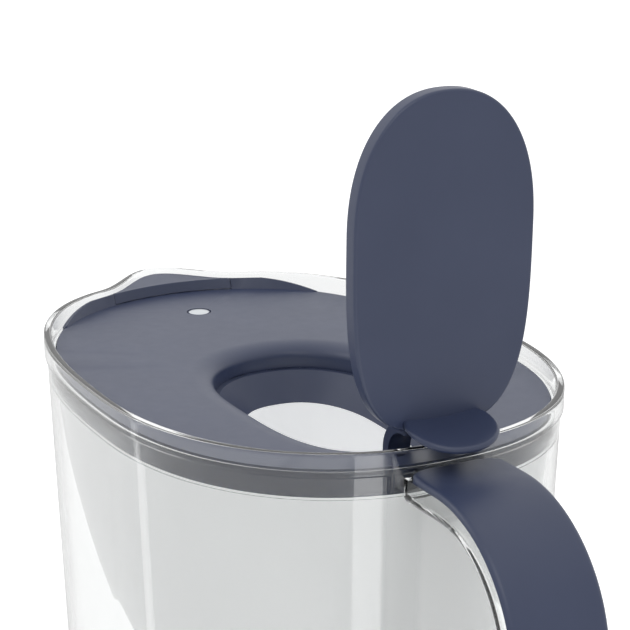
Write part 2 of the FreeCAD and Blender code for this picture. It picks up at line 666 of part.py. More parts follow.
def make_fill_collar():
    flange_z = HOLE_BOTTOM - COLLAR_FLANGE
    outer = -FLAP_GAP - HOLE_WALL
    flange = prism(flap_wire(outer, flange_z), COLLAR_FLANGE)
    chute = loft([flap_wire(COLLAR_LEDGE - COLLAR_WALL, HOLE_BOTTOM - COLLAR_FLANGE / 2),
                  flap_wire(COLLAR_REACH - COLLAR_WALL, RIM_Z - COLLAR_BOTTOM)])
    inside = loft([flap_wire(COLLAR_LEDGE, HOLE_BOTTOM),
                   flap_wire(COLLAR_REACH, RIM_Z - COLLAR_BOTTOM - COLLAR_MOUTH_STEP)])
    clip_out = outer - CLIP_GAP
    clip = prism(flap_wire(clip_out - CLIP_THICK, flange_z), COLLAR_FLANGE + CLIP_RISE)
    clip = clip.cut(prism(flap_wire(clip_out, HOLE_BOTTOM), CLIP_RISE + CUT_MARGIN))
    across = block(FLAP_MIDDLE_X - CLIP_HALF, FLAP_MIDDLE_X + CLIP_HALF, -SIDE, SIDE, flange_z, RIM_Z)
    ahead = block(-BODY_LENGTH, FLAP_MIDDLE_X, -CLIP_HALF, CLIP_HALF, flange_z, RIM_Z)
    clips = clip.common(across.fuse(ahead))
    collar = flange.fuse(chute).fuse(clips).cut(inside)
    rear = block(HINGE_X - ARM_BEND_X - ARM_BEND_RADIUS - ARM_THICK - ARM_ROOT, HINGE_X + SIDE,
                 -ARM_OUTER_Y - ARM_SIDE_GAP, ARM_OUTER_Y + ARM_SIDE_GAP, RIM_Z - BODY_WIDTH, RIM_Z)
    return collar.cut(rear).removeSplitter()


def swing_open(shape):
    turned = shape.copy()
    turned.rotate(HINGE, ALONG_Y, FLAP_OPEN_ANGLE)
    return turned


def thumb_tab():
    """Dished plate that stands on the flap near its hinge and leans back, widest part-way along."""
    root_x = HINGE_X - TAB_ROOT_FROM_HINGE
    foot = FLAP_TOP - FLAP_SKIN / 2
    reach = TAB_LENGTH - TAB_WIDEST
    points = []
    for k in range(OUTLINE_POINTS):
        angle = 2 * math.pi * k / OUTLINE_POINTS
        c = math.cos(angle)
        s = math.sin(angle)
        radius = (abs(c / TAB_HALF) ** TAB_POWER + abs(s / reach) ** TAB_POWER) ** (-1 / TAB_POWER)
        points.append(V(root_x - TAB_THICK, radius * c, FLAP_TOP + TAB_WIDEST + radius * s))
    plan = Part.Face(closed_curve(points)).extrude(V(3 * TAB_THICK, 0, 0))
    middle = V(root_x - TAB_SCOOP_RADIUS, 0, foot - CUT_MARGIN)
    tall = TAB_LENGTH + FLAP_SKIN + CUT_MARGIN
    far = Part.makeCylinder(TAB_SCOOP_RADIUS + TAB_THICK, tall, middle, UP)
    near = Part.makeCylinder(TAB_SCOOP_RADIUS, tall, middle, UP)
    tab = plan.common(far.cut(near))
    tab.rotate(V(root_x, 0, FLAP_TOP), ALONG_Y, TAB_LEAN)
    return tab.common(block(root_x - SIDE, root_x + SIDE, -SIDE, SIDE, foot, FLAP_TOP + SIDE))


def make_flap_cover():
    low = FLAP_TOP - FLAP_THICK
    cover = loft([flap_wire(0, low), flap_wire(0, FLAP_TOP - FLAP_EDGE),
                  flap_wire(FLAP_EDGE_EASE, FLAP_TOP - FLAP_EDGE_EASE), flap_wire(FLAP_EDGE, FLAP_TOP)])
    cover = cover.cut(prism(flap_wire(FLAP_SIDE_WALL, low - CUT_MARGIN), FLAP_THICK - FLAP_SKIN + CUT_MARGIN))
    slot_top = HINGE_Z + ARM_THICK / 2 + FLAP_FIT
    slot = block(FLAP_MIDDLE_X, HINGE_X, ARM_INNER_Y - FLAP_FIT, ARM_OUTER_Y + FLAP_FIT, low - CUT_MARGIN,
                 slot_top)
    cover = cover.cut(both_sides(slot))
    return swing_open(cover.fuse(thumb_tab()))


def hinge_arm():
    """One bent arm, closed pose: root in the flap, bend under the lid edge, hub on the pin."""
    bend_x = HINGE_X - ARM_BEND_X
    r_in = ARM_BEND_RADIUS - ARM_THICK / 2
    r_out = ARM_BEND_RADIUS + ARM_THICK / 2
    width = ARM_OUTER_Y - ARM_INNER_Y
    ring = rod_y(r_out, bend_x, HINGE_Z, ARM_INNER_Y, ARM_OUTER_Y)
    ring = ring.cut(rod_y(r_in, bend_x, HINGE_Z, ARM_INNER_Y - CUT_MARGIN, ARM_OUTER_Y + CUT_MARGIN))
    ring = ring.common(block(bend_x - SIDE, HINGE_X + ARM_THICK / 2, ARM_INNER_Y, ARM_OUTER_Y,
                             HINGE_Z - SIDE, HINGE_Z))
    strut = block(HINGE_X - ARM_THICK / 2, HINGE_X + ARM_THICK / 2, ARM_INNER_Y, ARM_OUTER_Y,
                  HINGE_Z - ARM_BEND_RADIUS, HINGE_Z)
    root = block(bend_x - r_out - ARM_ROOT, bend_x - r_in, ARM_INNER_Y, ARM_OUTER_Y,
                 HINGE_Z - ARM_THICK / 2, HINGE_Z + ARM_THICK / 2)
    hub = Part.makeCylinder(HUB_RADIUS, width, V(HINGE_X, ARM_INNER_Y, HINGE_Z), ALONG_Y)
    arm = ring.fuse(strut).fuse(root).fuse(hub)
    return arm.cut(rod_y(PIN_RADIUS + PIN_CLEARANCE, HINGE_X, HINGE_Z, 0, SIDE))


def make_flap_liner():
    low = FLAP_TOP - FLAP_THICK
    plate = prism(flap_wire(FLAP_SIDE_WALL + FLAP_FIT, low), FLAP_PLATE)
    return swing_open(plate.fuse(both_sides(hinge_arm())).removeSplitter())


def make_flap_pin():
    reach = ARM_OUTER_Y + ARM_SIDE_GAP + LUG_THICK
    return rod_y(PIN_RADIUS, HINGE_X, HINGE_Z, -reach, reach)


def pour_hook():
    """Ear of the pour flap: hub on its pin, strut and bend that clears the lid edge."""
    y0 = POUR_HOOK_INNER_Y
    y1 = y0 + POUR_HOOK_WIDTH
    r_in = POUR_HOOK_RADIUS - POUR_HOOK_THICK / 2
    r_out = POUR_HOOK_RADIUS + POUR_HOOK_THICK / 2
    span = HOOK_LOW_ANGLE - HOOK_HIGH_ANGLE
    start = V(math.cos(math.radians(HOOK_HIGH_ANGLE)), 0, math.sin(math.radians(HOOK_HIGH_ANGLE)))
    axis = V(POUR_AXIS_X, y0, POUR_AXIS_Z)
    section = Part.makePolygon([axis + start * r_in, axis + start * r_out,
                                axis + start * r_out + V(0, POUR_HOOK_WIDTH, 0),
                                axis + start * r_in + V(0, POUR_HOOK_WIDTH, 0), axis + start * r_in])
    bend = Part.Face(section).revolve(axis, ALONG_Y, -span)
    strut = Part.makeBox(r_out - POUR_HOOK_THICK / 4, POUR_HOOK_WIDTH, POUR_HOOK_THICK,
                         axis - V(0, 0, POUR_HOOK_THICK / 2))
    strut.rotate(axis, ALONG_Y, -HOOK_LOW_ANGLE)
    hub = rod_y(POUR_HUB_RADIUS, POUR_AXIS_X, POUR_AXIS_Z, y0, y1)
    pin = rod_y(POUR_PIN_RADIUS, POUR_AXIS_X, POUR_AXIS_Z, y0, y1 + POUR_PIN_LENGTH)
    post_x = POUR_AXIS_X - r_out
    post = block(post_x, post_x + POUR_HOOK_THICK, y0, y1, POUR_AXIS_Z, LIP_TOP - POUR_PLATE / 2)
    return bend.fuse(strut).fuse(hub).fuse(pin).fuse(post)


def make_pour_flap():
    low = LID_TOP + POUR_BAND_LIFT
    bulge = spout_bulge(low)
    tip_x = LIP_INSET - REAR_X - bulge
    hump = prism(body_wire(LIP_INSET, low, bulge), LIP_TOP + POUR_TIP_RISE - low)
    hump = hump.common(pour_window(POUR_HALF, LIP_ARC_RADIUS, low, LIP_TOP + POUR_TIP_RISE))
    back_x = LIP_ARC_X - LIP_ARC_RADIUS - LIP_SLOPE
    slope = Part.makePolygon([V(tip_x, -SIDE, LIP_TOP + POUR_TIP_RISE), V(back_x, -SIDE, LIP_TOP),
                              V(LIP_ARC_X, -SIDE, LIP_TOP), V(LIP_ARC_X, -SIDE, RIM_Z + CUT_MARGIN),
                              V(tip_x, -SIDE, RIM_Z + CUT_MARGIN), V(tip_x, -SIDE, LIP_TOP + POUR_TIP_RISE)])
    hump = hump.cut(Part.Face(slope).extrude(V(0, BODY_WIDTH, 0)))
    hollow = prism(body_wire(LIP_INSET + POUR_BAND, low - CUT_MARGIN, bulge),
                   LIP_TOP - POUR_PLATE - low + CUT_MARGIN)
    hollow = hollow.common(pour_window(POUR_HALF - POUR_BAND, LIP_ARC_RADIUS + POUR_BAND, low - CUT_MARGIN,
                                       LIP_TOP))
    return hump.cut(hollow).fuse(both_sides(pour_hook())).removeSplitter()


# Heights inside the light, from the lid down
BUTTON_TOP = LID_TOP - BUTTON_RECESS
FLANGE_TOP = LID_UNDER - BUTTON_FLANGE_GAP
STEM_LOW = FLANGE_TOP - BUTTON_FLANGE - BUTTON_STEM
PLUNGER_TOP = STEM_LOW - BUTTON_TRAVEL - SWITCH_GAP
BOARD_TOP = PLUNGER_TOP - PLUNGER_HEIGHT - SWITCH_HEIGHT
BOARD_LOW = BOARD_TOP - BOARD_THICK
CASE_TOP = LID_UNDER - GASKET_THICK
CELL_TOP = BOARD_LOW - CLIP_SHEET - CASE_FIT
CELL_LOW = CELL_TOP - CELL_THICK
CASE_LOW = CELL_LOW - CASE_FIT
CASE_EAR_TOP = CASE_LOW + CASE_WALL


def case_slab(inset, z0, z1):
    """Rounded rectangle of the light's case."""
    length = CASE_LENGTH - 2 * inset
    width = CASE_WIDTH - 2 * inset
    slab = block(CASE_X - length / 2, CASE_X + length / 2, -width / 2, width / 2, z0, z1)
    uprights = [edge for edge in slab.Edges if edge.BoundBox.XLength + edge.BoundBox.YLength < TINY]
    return slab.makeFillet(CASE_ROUND - inset, uprights)


def make_light_button():
    cap = disc(BUTTON_RADIUS, BUTTON_X, 0, FLANGE_TOP, BUTTON_TOP)
    flange = disc(BUTTON_FLANGE_RADIUS, BUTTON_X, 0, FLANGE_TOP - BUTTON_FLANGE, FLANGE_TOP)
    stem = disc(BUTTON_STEM_RADIUS, BUTTON_X, 0, STEM_LOW, FLANGE_TOP)
    return cap.fuse(flange).fuse(stem).removeSplitter()


def make_light_gasket():
    return case_slab(0, CASE_TOP, LID_UNDER).cut(case_slab(CASE_WALL, CASE_TOP, LID_UNDER))


def make_light_case():
    case = case_slab(0, CASE_LOW, CASE_TOP)
    for x, y in screw_places():
        case = case.fuse(disc(EAR_RADIUS, x, y, CASE_LOW, CASE_EAR_TOP))
        web = block(x - EAR_RADIUS, x + EAR_RADIUS, min(y, 0), max(y, 0), CASE_LOW, CASE_EAR_TOP)
        case = case.fuse(web)
    case = case.cut(case_slab(CASE_WALL, BOARD_LOW, CASE_TOP))
    case = case.cut(case_slab(CASE_WALL + CASE_LEDGE, CASE_LOW, BOARD_LOW))
    for x, y in screw_places():
        case = case.cut(disc(SCREW_RADIUS + SCREW_CLEARANCE, x, y, CASE_LOW, CASE_EAR_TOP))
    return case.removeSplitter()


def make_light_base():
    base = case_slab(0, CASE_LOW - CASE_BASE, CASE_LOW)
    for x, y in screw_places():
        base = base.fuse(disc(EAR_RADIUS, x, y, CASE_LOW - CASE_BASE, CASE_LOW))
        web = block(x - EAR_RADIUS, x + EAR_RADIUS, min(y, 0), max(y, 0), CASE_LOW - CASE_BASE, CASE_LOW)
        base = base.fuse(web)
    for x, y in screw_places():
        base = base.cut(disc(SCREW_RADIUS + SCREW_CLEARANCE, x, y, CASE_LOW - CASE_BASE, CASE_LOW))
    return base.removeSplitter()


def make_light_screws():
    screws = []
    head_z = CASE_LOW - CASE_BASE
    for x, y in screw_places():
        shank = disc(SCREW_RADIUS, x, y, head_z, CASE_EAR_TOP + SCREW_GRIP - SCREW_CLEARANCE)
        screws.append(shank.fuse(disc(SCREW_HEAD_RADIUS, x, y, head_z - SCREW_HEAD, head_z)).removeSplitter())
    return Part.makeCompound(screws)


def make_circuit_board():
    return case_slab(CASE_WALL + CASE_FIT, BOARD_LOW, BOARD_TOP)


def make_push_switch():
    half = SWITCH_SIDE / 2
    body = block(BUTTON_X - half, BUTTON_X + half, -half, half, BOARD_TOP, BOARD_TOP + SWITCH_HEIGHT)
    return body.fuse(disc(PLUNGER_RADIUS, BUTTON_X, 0, BOARD_TOP, PLUNGER_TOP)).removeSplitter()


def make_led_chip():
    x0 = BUTTON_X + SWITCH_SIDE / 2 + CASE_FIT
    return block(x0, x0 + CHIP_LENGTH, -CHIP_WIDTH / 2, CHIP_WIDTH / 2, BOARD_TOP, BOARD_TOP + CHIP_HEIGHT)


def make_coin_cell():
    return disc(CELL_RADIUS, CASE_X, 0, CELL_LOW, CELL_TOP)


def make_cell_clip():
    reach = CELL_RADIUS + CASE_FIT
    top = block(CASE_X - reach - CLIP_SHEET, CASE_X + reach + CLIP_SHEET, -CLIP_LEG_HALF, CLIP_LEG_HALF,
                BOARD_LOW - CLIP_SHEET, BOARD_LOW)
    for x in (CASE_X - reach - CLIP_SHEET, CASE_X + reach):
        top = top.fuse(block(x, x + CLIP_SHEET, -CLIP_LEG_HALF, CLIP_LEG_HALF, CELL_LOW, BOARD_LOW))
    return top.removeSplitter()


PARTS = {
    "jug_body": make_jug_body,
    "handle_grip": make_handle_grip,
    "funnel": make_funnel,
    "cartridge_cup": make_cartridge_cup,
    "cartridge_cap": make_cartridge_cap,
    "cartridge_media": make_cartridge_media,
    "cartridge_screen": make_cartridge_screen,
    "cartridge_sieve": make_cartridge_sieve,
    "cartridge_seal": make_cartridge_seal,
    "lid_panel": make_lid_panel,
    "fill_collar": make_fill_collar,
    "flap_cover": make_flap_cover,
    "flap_liner": make_flap_liner,
    "flap_pin": make_flap_pin,
    "pour_flap": make_pour_flap,
    "light_button": make_light_button,
    "light_gasket": make_light_gasket,
    "light_case": make_light_case,
    "light_base": make_light_base,
    "light_screws": make_light_screws,
    "circuit_board": make_circuit_board,
    "push_switch": make_push_switch,
    "led_chip": make_led_chip,
    "coin_cell": make_coin_cell,
    "cell_clip": make_cell_clip,
}


def main():
    os.makedirs("parts", exist_ok=True)
    for name, make in PARTS.items():
        shape = make()
        shape.exportStep(os.path.join("parts", name + ".step"))
        print(name, len(shape.Solids), round(shape.Volume), shape.isValid())


main()
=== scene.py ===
import json
import math

import bmesh
import bpy
from mathutils import Matrix, Vector


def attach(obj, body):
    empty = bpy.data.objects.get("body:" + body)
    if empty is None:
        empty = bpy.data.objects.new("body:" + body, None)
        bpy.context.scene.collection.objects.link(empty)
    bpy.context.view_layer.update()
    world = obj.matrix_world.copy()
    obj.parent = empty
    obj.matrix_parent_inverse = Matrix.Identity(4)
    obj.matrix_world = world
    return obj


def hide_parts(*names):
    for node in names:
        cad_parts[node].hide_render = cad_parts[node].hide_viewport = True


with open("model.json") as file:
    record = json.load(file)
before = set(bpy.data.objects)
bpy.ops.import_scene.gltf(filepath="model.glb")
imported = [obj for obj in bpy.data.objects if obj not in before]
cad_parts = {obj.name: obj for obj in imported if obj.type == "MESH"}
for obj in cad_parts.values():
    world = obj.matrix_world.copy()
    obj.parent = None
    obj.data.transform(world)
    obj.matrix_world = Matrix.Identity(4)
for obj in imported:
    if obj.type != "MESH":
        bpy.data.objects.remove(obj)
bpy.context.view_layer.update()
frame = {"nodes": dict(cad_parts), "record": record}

# Sizes in millimetres, angles in degrees, counts of steps, and shares and powers of the outlines
MM = 0.001
RING = 360
SHARP_ANGLE = 35.0
EASE_ANGLE = 28.0
EASE_SEGMENTS = 4
MERGE_DISTANCE = 0.003
LEVEL_SLACK = 0.1
RIM_Z = 276.0
BODY_LENGTH = 196.0
SIDE = 72.0
WIDEST_X = 14.7
REAR_POWER = 2.23
FRONT_POWER = 2.6
REAR_X = BODY_LENGTH / 2
FRONT_SEMI = BODY_LENGTH / 2 + WIDEST_X
REAR_SEMI = BODY_LENGTH / 2 - WIDEST_X
WALL_DRAFT = 0.035
WALL = 2.9
FLOOR = 3.5
BASE_ROUND = 9.0
INNER_ROUND = 7.2
RIM_BAND = 6.5
RIM_STEP = 0.9
RIM_PROUD = 0.8
RIM_WALL = 2.5
RIM_ROUND = 0.6
RIM_UNDERCUT = 0.1
RIM_RUN = 2.0
RIM_STEPS = 6
FOOT_RUN = 12.0
FLOOR_RUN = 8.0
ROUND_STEPS = 10
WALL_STEPS = 10
LEDGE_STEPS = 8
LEDGE_Z = RIM_Z - 14.2
SPOUT_REACH = 15.8
SPOUT_HALF = 28.0
SPOUT_DROP = 72.0
SPOUT_POWER = 1.8
SPOUT_OUTER_STEPS = 34
SPOUT_INNER_STEPS = 30
CROWDING = 0.45

HANDLE_X = 155.0
HANDLE_TOP = RIM_Z - 6.0
HANDLE_LOW = HANDLE_TOP - 194.0
HANDLE_TOP_ROUND = 42.0
HANDLE_LOW_ROUND = 36.0
HANDLE_STEPS = 6
GRIP_HALF = 15.5
GRIP_THICK = 2.4
GRIP_SIDE = 1.2
GRIP_EDGE = 1.9
GRIP_GAP = 0.3
GRIP_CORNER = 8.5
GRIP_LIP = 0.15
GRIP_END_EASE = 0.5
GRIP_END_RUN = 0.8
GRIP_EDGE_STEPS = 6
GRIP_FACE_STEPS = 14
GRIP_STEPS = 14
CORE_HALF = 14.4
CORE_DEPTH = 8.2
CORE_WALL = 2.4
CORE_EDGE = 3.4
CORE_FILLET = 1.0
CORE_EDGE_STEPS = 8
CORE_STEPS = 16

FUNNEL_GAP = 0.3
FUNNEL_RIM = 1.0
FUNNEL_RIM_ROUND = 0.4
FUNNEL_RIM_INSET = RIM_WALL + FUNNEL_GAP
FUNNEL_RIM_TOP = RIM_Z - 5.9
FUNNEL_SHOULDER = LEDGE_Z + 0.4
SKIRT_LOW = LEDGE_Z + 1.4
FUNNEL_WALL = 1.6
FUNNEL_DRAFT = 0.05
FUNNEL_FLOOR = RIM_Z - 114.0
BOWL_FRONT = 62.0
BOWL_SIDE = 23.5
BOWL_POWER = 1.65
BOWL_STEPS = 28
FUNNEL_DENT = 10.5
FUNNEL_DENT_HALF = 50.0
FUNNEL_FRONT_X = -74.0
FUNNEL_FRONT_TOP = RIM_Z - 7.7
WELL_X = 22.0
WELL_RADIUS = 33.0
WELL_DEPTH = 60.0
WELL_DRAIN = 22.0
WELL_ROUND = 1.2
WELL_ROUND_STEPS = 4
FUNNEL_MIDDLE = Vector((WELL_X, 0, FUNNEL_FLOOR))

LID_TOP = RIM_Z - 5.4
LIP_X = -31.3
LIP_RADIUS = 64.0
LIP_SLOPE = 1.4 / 3.7
LIP_EASE = 1.1
LIP_FOOT = 0.3
LIP_REACH = 0.8
LID_EDGE = 0.3
COLLAR_EDGE = 0.25
LINER_EDGE = 0.25
POUR_EDGE = 0.12
BUTTON_EDGE = 0.1
POUR_HALF = 22.4
POUR_SEAM = 0.25
BUTTON_X = -70.3
BUTTON_RECESS = 0.1
BUTTON_TOP = LID_TOP - BUTTON_RECESS
DISC_RADIUS = 3.45
DISC_RING = 96
DISC_SINK = 0.1
DISC_EDGE = 0.15
DISC_RISE = 0.06
DISC_CROWN = 0.1
DISC_CROWN_SHARE = 0.6

HINGE_X = 88.45
HINGE_Z = RIM_Z - 9.6
FLAP_FREE_LENGTH = 39.6
FLAP_HINGE_LENGTH = 56.9
FLAP_HALF = 28.7
FLAP_FREE_POWER = 2.27
FLAP_HINGE_POWER = 3.27
FLAP_SETBACK = 12.1
FLAP_MIDDLE_X = HINGE_X - FLAP_SETBACK - FLAP_HINGE_LENGTH
FLAP_TOP = HINGE_Z + 3.15
FLAP_THICK = 5.0
FLAP_SKIN = 1.8
FLAP_SIDE_WALL = 1.6
FLAP_EDGE = 0.9
FLAP_EDGE_STEPS = 7
FLAP_UNDER_EDGE = 0.4
FLAP_UNDER_STEPS = 4
FLAP_UNDER_RUN = 0.6
FLAP_SIDE_STEPS = 3
FLAP_FACE_SHARES = (0.97, 0.85, 0.65, 0.45, 0.25, 0.1)
FLAP_HOLLOW_SHARES = (0.1, 0.4, 0.7)
FLAP_OPEN = 91.0
ARM_INNER_Y = 3.6
ARM_OUTER_Y = 11.0
ARM_THICK = 3.0
ARM_SIDE_GAP = 0.2
ARM_TOP_GAP = 0.15
TAB_ROOT = 15.6
TAB_LENGTH = 17.4
TAB_WIDEST = 5.5
TAB_HALF = 13.6
TAB_POWER = 2.2
TAB_THICK = 2.2
TAB_LEAN = 11.0
TAB_SCOOP = 80.0
TAB_RING = 120
TAB_SHARES = (0.2, 0.5, 0.8, 1.0)
TAB_EDGE_STEPS = 10

# Patterns in the materials: scales per metre, depths in metres
DRIFT_SCALE = 35.0
SHEEN_SCALE = 260.0
GRAIN_DETAIL = 3.0
GRAIN_DEPTH = 0.0002
HAZE_SCALE = 18.0
HAZE_ROUGHNESS = 0.012
WAVE_SCALE = 30.0
WAVE_DETAIL = 2.0
WAVE_DEPTH = 0.001
WAVE_STRENGTH = 0.02
CLEAR_IOR = 1.49

# Studio, in metres: the backdrop's direction, levels of its light and of the room's, floor and camera
BACKDROP = (-0.84, 0.45, 0.30)
BRIGHT_LIGHT = 1.05
DIM_LIGHT = 0.66
GLASS_LIGHT = 1.0
ROOM_LOW = -0.45
ROOM_HIGH = 0.75
FLOOR_HALF = 3.0
FLOOR_Z = -0.0005
FLOOR_SHOWN = 0.5
FLOOR_THROUGH = 0.2
CAMERA_PLACE = Vector((0.5466, -0.2820, 0.4696))
CAMERA_WAY = Vector((-0.8467, 0.4502, -0.2836))
CAMERA_LENS = 115.15
CAMERA_SENSOR = 36.0

# Each lamp's name, place, target, width and height in metres, and its power in watts
LAMPS = (
    ("key", (-0.5, -0.9, 1.4), (0, 0, 0.2), 0.8, 0.8, 2.5),
    ("front", (0.65, -0.15, 0.95), (0.08, 0, 0.30), 0.5, 0.5, 1.2),
    ("rear_strip", (0.441, -0.063, 0.10), (0.094, -0.018, 0.20), 0.105, 0.20, 0.10),
    ("side_strip", (-0.225, -0.303, 0.10), (0.035, -0.069, 0.20), 0.018, 0.20, 0.014),
)


def egg(low, high, side, low_power, high_power, inset, bulge=0.0, bulge_half=1.0):
    """Two-ended superellipse moved inwards, with a bell bulge at its low end."""
    points = []
    for k in range(RING):
        turn = 2 * math.pi * k / RING
        angle = turn + CROWDING * math.sin(turn)
        c = math.cos(angle)
        s = math.sin(angle)
        semi = high if c >= 0 else low
        power = high_power if c >= 0 else low_power
        radius = (abs(c / semi) ** power + abs(s / side) ** power) ** (-1 / power)
        x = radius * c
        y = radius * s
        nx = math.copysign(abs(x / semi) ** (power - 1) / semi, x)
        ny = math.copysign(abs(y / side) ** (power - 1) / side, y)
        if x < 0 and abs(y) < bulge_half:
            phase = math.pi * y / bulge_half
            x -= bulge * (1 + math.cos(phase)) / 2
            ny -= nx * bulge * math.sin(phase) * math.pi / (2 * bulge_half)
        length = math.hypot(nx, ny)
        points.append((x - inset * nx / length, y - inset * ny / length))
    return points


def body_ring(z, inset, bulge=0.0):
    outline = egg(FRONT_SEMI, REAR_SEMI, SIDE, FRONT_POWER, REAR_POWER, inset, bulge, SPOUT_HALF)
    return [Vector((x + WIDEST_X, y, z)) for x, y in outline]


def spout_bulge(z):
    rise = max(0.0, z - (RIM_Z - SPOUT_DROP)) / SPOUT_DROP
    return SPOUT_REACH * rise ** SPOUT_POWER


def wall_inset(z):
    return RIM_PROUD + WALL_DRAFT * max(0.0, RIM_Z - RIM_BAND - z)


def spread(low, high, count):
    return [low + (high - low) * k / count for k in range(count + 1)]


def quarter(count):
    return [math.pi / 2 * k / count for k in range(count + 1)]


def skin(rings, closed=False, cap_first=False, cap_last=False):
    """Mesh of quads between rings of equal count; a cap is a fan to the ring's middle."""
    mesh = bmesh.new()
    rows = [[mesh.verts.new(p * MM) for p in ring] for ring in rings]
    pairs = list(zip(rows, rows[1:]))
    if closed:
        pairs.append((rows[-1], rows[0]))
    count = len(rings[0])
    for a, b in pairs:
        for k in range(count):
            j = (k + 1) % count
            mesh.faces.new((a[k], a[j], b[j], b[k]))
    for wanted, ring, row in ((cap_first, rings[0], rows[0]), (cap_last, rings[-1], rows[-1])):
        if wanted:
            middle = mesh.verts.new(sum(ring, Vector()) / count * MM)
            for k in range(count):
                mesh.faces.new((row[k], row[(k + 1) % count], middle))
    bmesh.ops.recalc_face_normals(mesh, faces=mesh.faces[:])
    return mesh


def placed(name, mesh):
    """New object in the scene from a mesh, which is freed."""
    data = bpy.data.meshes.new(name)
    mesh.to_mesh(data)
    mesh.free()
    made = bpy.data.objects.new(name, data)
    bpy.context.scene.collection.objects.link(made)
    return made


def piece(name, mesh, body, material, nodes=(), sharp=SHARP_ANGLE):
    made = placed(name, mesh)
    smooth(made.data, sharp)
    made.data.materials.append(material)
    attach(made, body)
    if nodes:
        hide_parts(*nodes)
    return made


def smooth(data, sharp):
    for face in data.polygons:
        face.use_smooth = True
    data.set_sharp_from_angle(angle=math.radians(sharp))


def shader_of(material):
    return material.node_tree.nodes["Principled BSDF"]


def set_inputs(node, values):
    for name, value in values.items():
        node.inputs[name].default_value = value


def new_material(name):
    material = bpy.data.materials.new(name)
    material.use_nodes = True
    return material, material.node_tree, shader_of(material)


def noise(tree, scale, detail=4.0):
    place = tree.nodes.new("ShaderNodeTexCoord")
    texture = tree.nodes.new("ShaderNodeTexNoise")
    set_inputs(texture, {"Scale": scale, "Detail": detail})
    tree.links.new(place.outputs["Object"], texture.inputs["Vector"])
    return texture


def ramp(tree, source, low, high, start=0.3, end=0.7):
    node = tree.nodes.new("ShaderNodeValToRGB")
    node.color_ramp.elements[0].position = start
    node.color_ramp.elements[1].position = end
    node.color_ramp.elements[0].color = low
    node.color_ramp.elements[1].color = high
    tree.links.new(source.outputs["Fac"], node.inputs["Fac"])
    return node


def spread_value(tree, source, low, high):
    node = tree.nodes.new("ShaderNodeMapRange")
    set_inputs(node, {"To Min": low, "To Max": high})
    tree.links.new(source.outputs["Fac"], node.inputs["Value"])
    return node


def roughen(tree, shader, source, strength, depth):
    bump = tree.nodes.new("ShaderNodeBump")
    set_inputs(bump, {"Strength": strength, "Distance": depth})
    tree.links.new(source.outputs["Fac"], bump.inputs["Height"])
    tree.links.new(bump.outputs["Normal"], shader.inputs["Normal"])


def moulded(name, low, high, rough, grain, strength):
    """Moulded plastic: slight colour drift, uneven sheen and a fine spark-eroded grain."""
    material, tree, shader = new_material(name)
    drift = noise(tree, DRIFT_SCALE)
    fine = noise(tree, grain, GRAIN_DETAIL)
    colour = ramp(tree, drift, low, high)
    tree.links.new(colour.outputs["Color"], shader.inputs["Base Color"])
    sheen = spread_value(tree, noise(tree, SHEEN_SCALE), rough[0], rough[1])
    tree.links.new(sheen.outputs["Result"], shader.inputs["Roughness"])
    roughen(tree, shader, fine, strength, GRAIN_DEPTH)
    return material


def clear_plastic():
    """Clear polished plastic with a trace of haze and of waviness."""
    material, tree, shader = new_material("clear_plastic")
    set_inputs(shader, {"Base Color": (0.980, 0.988, 0.986, 1.0)})
    set_inputs(shader, {"Transmission Weight": 1.0, "IOR": CLEAR_IOR})
    haze = spread_value(tree, noise(tree, HAZE_SCALE), 0.0, HAZE_ROUGHNESS)
    tree.links.new(haze.outputs["Result"], shader.inputs["Roughness"])
    roughen(tree, shader, noise(tree, WAVE_SCALE, WAVE_DETAIL), WAVE_STRENGTH, WAVE_DEPTH)
    return material


slate = moulded("slate_plastic", (0.030, 0.042, 0.091, 1), (0.035, 0.048, 0.100, 1),
                (0.36, 0.44), 2600.0, 0.06)
set_inputs(shader_of(slate), {"Specular IOR Level": 0.62})
dark = moulded("dark_plastic", (0.036, 0.047, 0.092, 1), (0.041, 0.053, 0.102, 1),
               (0.42, 0.50), 2600.0, 0.06)
# The milky plastic's emission is painted light: a faint glow that stands in for light reaching the funnel
# through the clear jug
milky = moulded("frosted_plastic", (0.85, 0.86, 0.86, 1), (0.88, 0.89, 0.89, 1),
                (0.38, 0.48), 1400.0, 0.05)
set_inputs(shader_of(milky), {
    "Subsurface Weight": 0.4,
    "Subsurface Radius": (1.0, 1.0, 1.0),
    "Subsurface Scale": 0.003,
    "IOR": 1.45,
    "Emission Color": (1.0, 1.0, 1.0, 1.0),
    "Emission Strength": 0.16,
})
# The funnel's inside has a stronger emission: painted light in place of the light that comes through its
# wall and down the fill hole
lit = moulded("frosted_inside_painted_light", (0.85, 0.86, 0.86, 1), (0.88, 0.89, 0.89, 1),
              (0.38, 0.48), 1400.0, 0.05)
set_inputs(shader_of(lit), {"Emission Color": (1.0, 1.0, 1.0, 1.0), "Emission Strength": 0.35})
white = moulded("white_plastic", (0.78, 0.79, 0.79, 1), (0.83, 0.83, 0.83, 1),
                (0.28, 0.38), 1800.0, 0.05)
glow = moulded("light_white", (0.60, 0.64, 0.68, 1), (0.66, 0.69, 0.72, 1),
               (0.18, 0.26), 1600.0, 0.03)
steel = moulded("steel", (0.52, 0.52, 0.53, 1), (0.66, 0.66, 0.67, 1),
                (0.24, 0.36), 900.0, 0.08)
set_inputs(shader_of(steel), {"Metallic": 1.0})
rubber = moulded("seal_rubber", (0.36, 0.37, 0.39, 1), (0.46, 0.47, 0.49, 1),
                 (0.60, 0.75), 1500.0, 0.15)
grains = moulded("filter_grains", (0.01, 0.01, 0.01, 1), (0.16, 0.13, 0.10, 1),
                 (0.55, 0.90), 700.0, 1.0)
screen = moulded("mesh_screen", (0.55, 0.56, 0.56, 1), (0.82, 0.82, 0.81, 1),
                 (0.50, 0.70), 2200.0, 0.5)
board = moulded("board_green", (0.015, 0.13, 0.045, 1), (0.03, 0.20, 0.075, 1),
                (0.25, 0.40), 900.0, 0.05)
clear = clear_plastic()
